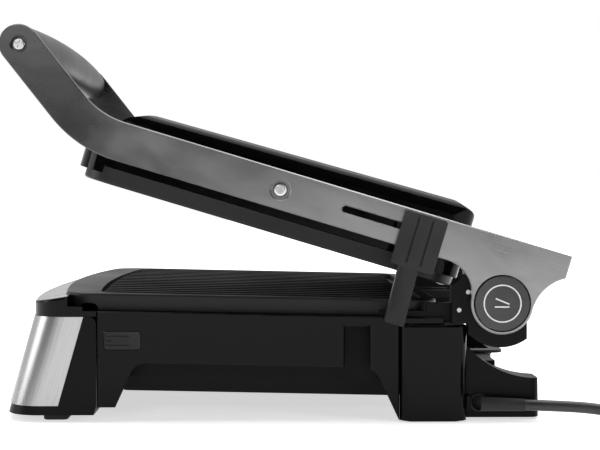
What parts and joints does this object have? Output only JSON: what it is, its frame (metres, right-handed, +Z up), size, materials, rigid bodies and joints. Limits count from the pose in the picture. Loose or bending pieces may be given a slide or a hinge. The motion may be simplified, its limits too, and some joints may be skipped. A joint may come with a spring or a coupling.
{
  "type": "contact grill",
  "caption": "Tabletop panini press with ribbed upper and lower plates, a tilting lid on two side arms with a bar handle, a height lock, a rear drip tray and a mains lead.",
  "frame": {"origin": "on the worktop under the middle of the machine, with the lid part open and the cord left out", "axes": "+Z up, the front with its controls faces -Y, +X is the side with the height lock and the cord"},
  "size_m": [0.4802, 0.5669, 0.2677],
  "materials": {
    "polished_aluminium": "polished, with fine brush grain",
    "gloss_black": "gloss moulded",
    "steel": "brushed",
    "matte_black": "fine moulded texture",
    "lock_grey": "satin moulded",
    "handle": "satin",
    "disc": "satin",
    "nonstick": "satin non-stick coat",
    "window": "gloss",
    "keys": "satin",
    "tray": "satin",
    "rubber": "matte",
    "cord": "matte",
    "plug": "matte",
    "brass": "bright",
    "fastener": "bright zinc",
    "mechanism": "machined",
    "element": "heat tinted",
    "reflector": "mill",
    "electrics": "matte",
    "board": "satin"
  },
  "bodies": {
    "base": {"base_housing": "gloss_black", "front_frame": "matte_black", "front_panel": "steel", "front_bezel": "gloss_black", "display_window": "window", "control_board": "board", "bottom_pan": "matte_black", "pan_screws": "fastener", "lower_grill_plate": "nonstick", "lower_heating_element": "element", "lower_reflector": "reflector", "lower_thermostat": "electrics", "terminal_block": "electrics", "power_relay": "electrics", "rear_leg_column_right": "gloss_black", "rear_leg_column_left": "gloss_black", "rear_foot_cover_right": "matte_black", "rear_foot_cover_left": "matte_black", "foot_cover_clips": "matte_black", "rear_crossbeam": "matte_black", "tray_rails": "matte_black", "hinge_bracket_right": "matte_black", "hinge_bracket_left": "matte_black", "bracket_screws": "fastener", "hinge_pins": "mechanism", "hinge_button_springs": "mechanism", "front_feet": "rubber", "rear_feet": "rubber", "cord_strain_relief": "rubber", "cord_lead": "cord", "cord_coil": "cord", "cord_tail": "cord", "plug_body": "plug", "plug_pins": "brass"},
    "arms": {"arm_right": "polished_aluminium", "arm_left": "polished_aluminium", "handle_grip": "handle", "handle_core_tube": "mechanism", "handle_screws": "fastener"},
    "lid": {"lid_housing": "gloss_black", "upper_grill_plate": "nonstick", "upper_heating_element": "element", "upper_reflector": "reflector", "upper_thermostat": "electrics", "lid_pivot_bosses": "matte_black", "lid_pivot_screws": "fastener", "lid_tilt_springs": "mechanism"},
    "lock": {"lock_slider": "lock_grey", "lock_keeper": "lock_grey"},
    "tray": {"drip_tray": "tray"},
    "hinge_button_right": {"hinge_release_button_right": "disc"},
    "lower_release_right": {"lower_plate_release_right": "lock_grey"},
    "upper_release_right": {"upper_plate_release_right": "lock_grey"},
    "hinge_button_left": {"hinge_release_button_left": "disc"},
    "lower_release_left": {"lower_plate_release_left": "lock_grey"},
    "upper_release_left": {"upper_plate_release_left": "lock_grey"},
    "key_1": {"control_key_1": "keys"},
    "key_2": {"control_key_2": "keys"},
    "key_3": {"control_key_3": "keys"},
    "key_4": {"control_key_4": "keys"}
  },
  "joints": [
    {"name": "arm_hinge", "type": "hinge", "parent": "base", "child": "arms", "pos_m": [0, 0.147, 0.08], "axis": [-1, 0, 0], "range_deg": [-15.2, 161.6]},
    {"name": "lid_tilt", "type": "hinge", "parent": "arms", "child": "lid", "pos_m": [0, 0.00023, 0.15525], "axis": [1, 0, 0], "range_deg": [0, 10], "stiffness_Nm_per_rad": 2, "springref_deg": -20.05},
    {"name": "lock_slide", "type": "slide", "parent": "arms", "child": "lock", "axis": [0, -0.9578, 0.2874], "range_m": [0, 0.038]},
    {"name": "tray_slide", "type": "slide", "parent": "base", "child": "tray", "axis": [0, -1, 0], "range_m": [-0.06, 0]},
    {"name": "hinge_button_right_press", "type": "slide", "parent": "arms", "child": "hinge_button_right", "axis": [-1, 0, 0], "range_m": [0, 0.0012], "stiffness_N_per_m": 400, "springref_m": -0.002},
    {"name": "lower_release_right_press", "type": "slide", "parent": "base", "child": "lower_release_right", "axis": [-1, 0, 0], "range_m": [0, 0.002], "stiffness_N_per_m": 400, "springref_m": -0.002},
    {"name": "upper_release_right_press", "type": "slide", "parent": "lid", "child": "upper_release_right", "axis": [-1, 0, 0], "range_m": [0, 0.002], "stiffness_N_per_m": 400, "springref_m": -0.002},
    {"name": "hinge_button_left_press", "type": "slide", "parent": "arms", "child": "hinge_button_left", "axis": [1, 0, 0], "range_m": [0, 0.0012], "stiffness_N_per_m": 400, "springref_m": -0.002},
    {"name": "lower_release_left_press", "type": "slide", "parent": "base", "child": "lower_release_left", "axis": [1, 0, 0], "range_m": [0, 0.002], "stiffness_N_per_m": 400, "springref_m": -0.002},
    {"name": "upper_release_left_press", "type": "slide", "parent": "lid", "child": "upper_release_left", "axis": [1, 0, 0], "range_m": [0, 0.002], "stiffness_N_per_m": 400, "springref_m": -0.002},
    {"name": "key_1_press", "type": "slide", "parent": "base", "child": "key_1", "axis": [0, 0.9613, -0.2756], "range_m": [0, 0.0008], "stiffness_N_per_m": 400, "springref_m": -0.002},
    {"name": "key_2_press", "type": "slide", "parent": "base", "child": "key_2", "axis": [0, 0.9613, -0.2756], "range_m": [0, 0.0008], "stiffness_N_per_m": 400, "springref_m": -0.002},
    {"name": "key_3_press", "type": "slide", "parent": "base", "child": "key_3", "axis": [0, 0.9613, -0.2756], "range_m": [0, 0.0008], "stiffness_N_per_m": 400, "springref_m": -0.002},
    {"name": "key_4_press", "type": "slide", "parent": "base", "child": "key_4", "axis": [0, 0.9613, -0.2756], "range_m": [0, 0.0008], "stiffness_N_per_m": 400, "springref_m": -0.002}
  ]
}
